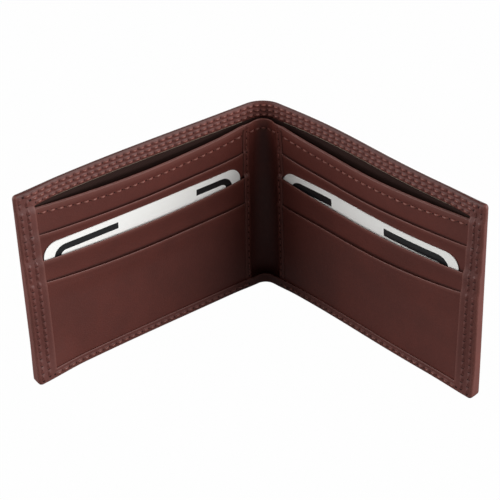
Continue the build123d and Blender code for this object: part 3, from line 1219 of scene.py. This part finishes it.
class WALLET_OT_stage(bpy.types.Operator):
    """Makes the floor, the lights, the world and the camera"""

    bl_idname = "wallet.stage"
    bl_label = "Stage"

    # Metres, but for the lens and sensor and the camera's aim in millimetres, its azimuth and
    # elevation in degrees and its roll in radians.
    floor_size, floor_drop, lamp_aim = 3.0, 0.0002, 0.04
    lens, sensor, near, far = 111.16, 36.0, 0.01, 20.0
    camera_azimuth, camera_elevation, camera_roll = -84.23, 34.92, -0.0287
    camera_reach, camera_aim = 0.6037, (-5.75, 0, 18.9)

    def execute(self, context):
        scene = context.scene
        scene.view_settings.view_transform = "Standard"
        middle = Vector((0, leaves()[0].centre * MM, 0))

        floor = bpy.data.meshes.new("floor")
        x = self.floor_size
        floor.from_pydata([(-x, -x, 0), (x, -x, 0), (x, x, 0), (-x, x, 0)], [], [(0, 1, 2, 3)])
        floor.materials.append(self.paper())
        floor = self.put(scene, "floor", floor)
        floor.location.z = -self.floor_drop

        scene.world = bpy.data.worlds.new("soft_world")
        board = Board("", scene.world)
        lights = [board.node("ShaderNodeBackground", {}, [WHITE, light]) for light in (AMBIENT, 1.0)]
        self.mix(board, board.seen(1.0, 0.25), *lights, "World")

        for name, azimuth, elevation, watts, wide, tall in LAMPS:
            lamp = bpy.data.lights.new(name, "AREA")
            lamp.energy, lamp.shape, lamp.size, lamp.size_y = watts, "RECTANGLE", wide, tall
            thing = self.put(scene, name, lamp)
            out = self.direction(azimuth, elevation)
            thing.location = middle + Vector((0, 0, self.lamp_aim)) + out * LAMP_REACH
            thing.rotation_euler = (-out).to_track_quat("-Z", "Y").to_euler()

        eye = bpy.data.cameras.new("camera")
        eye.lens, eye.sensor_width = self.lens, self.sensor
        eye.clip_start, eye.clip_end = self.near, self.far
        camera = self.put(scene, "camera", eye)
        back = self.direction(self.camera_azimuth, self.camera_elevation)
        camera.location = middle + Vector(self.camera_aim) * MM + back * self.camera_reach
        camera.rotation_mode = "QUATERNION"
        roll = Quaternion((0, 0, 1), self.camera_roll)
        camera.rotation_quaternion = (-back).to_track_quat("-Z", "Y") @ roll
        scene.camera = camera
        return {"FINISHED"}

    def put(self, scene, name, data):
        """A new object of the scene."""
        thing = bpy.data.objects.new(name, data)
        scene.collection.objects.link(thing)
        return thing

    def direction(self, azimuth, elevation):
        """Unit vector towards an azimuth, from +X towards +Y, and an elevation, in degrees."""
        a, e = math.radians(azimuth), math.radians(elevation)
        return Vector((math.cos(a) * math.cos(e), math.sin(a) * math.cos(e), math.sin(e)))

    def mix(self, board, share, lit, seen, kind):
        """Ends a board in shader lit where share is 0 and in shader seen where it is 1."""
        return board.surface(board.node("ShaderNodeMixShader", {}, [share, lit, seen]), kind)

    def paper(self):
        """Studio paper: grey paper to the lamps, nearly white to the eye, with a faint shadow."""
        board = Board("stage_paper")
        grey = board.node("ShaderNodeBsdfDiffuse", {}, [darker(WHITE, 0.1)])
        glow = board.node("ShaderNodeEmission", {}, [WHITE, 1.0])
        return self.mix(board, board.seen(0.99, 0.15), grey, glow, "Material")


class WALLET_PT_panel(bpy.types.Panel):
    """Lists the pieces and their sizes"""

    bl_idname = "WALLET_PT_panel"
    bl_label = "Wallet"
    bl_space_type = "VIEW_3D"
    bl_region_type = "UI"
    bl_category = "Wallet"

    def draw(self, context):
        for group in (context.scene.wallet_sizes, context.scene.wallet_colours):
            box = self.layout.box()
            for key in group.__annotations__:
                box.prop(group, key)
        for piece in PIECES:
            self.layout.operator(piece.bl_idname)


PIECES = (
    WALLET_OT_stage,
    WALLET_OT_boards,
    WALLET_OT_lining,
    WALLET_OT_cover,
    WALLET_OT_cover_stitches,
    WALLET_OT_divider,
    WALLET_OT_pockets,
    WALLET_OT_binding,
    WALLET_OT_pocket_stitches,
    WALLET_OT_cards,
)
CLASSES = (WalletSizes, WalletColours, *PIECES, WALLET_PT_panel)


def register():
    for item in CLASSES:
        bpy.utils.register_class(item)
    bpy.types.Scene.wallet_sizes = PointerProperty(type=WalletSizes)
    bpy.types.Scene.wallet_colours = PointerProperty(type=WalletColours)


def unregister():
    del bpy.types.Scene.wallet_colours
    del bpy.types.Scene.wallet_sizes
    for item in reversed(CLASSES):
        bpy.utils.unregister_class(item)


def main():
    register()
    bpy.ops.wallet.stage()
    bpy.ops.wallet.boards()
    bpy.ops.wallet.lining()
    bpy.ops.wallet.cover()
    bpy.ops.wallet.cover_stitches()
    bpy.ops.wallet.divider()
    bpy.ops.wallet.pockets()
    bpy.ops.wallet.binding()
    bpy.ops.wallet.pocket_stitches()
    bpy.ops.wallet.cards()


if __name__ == "__main__":
    main()
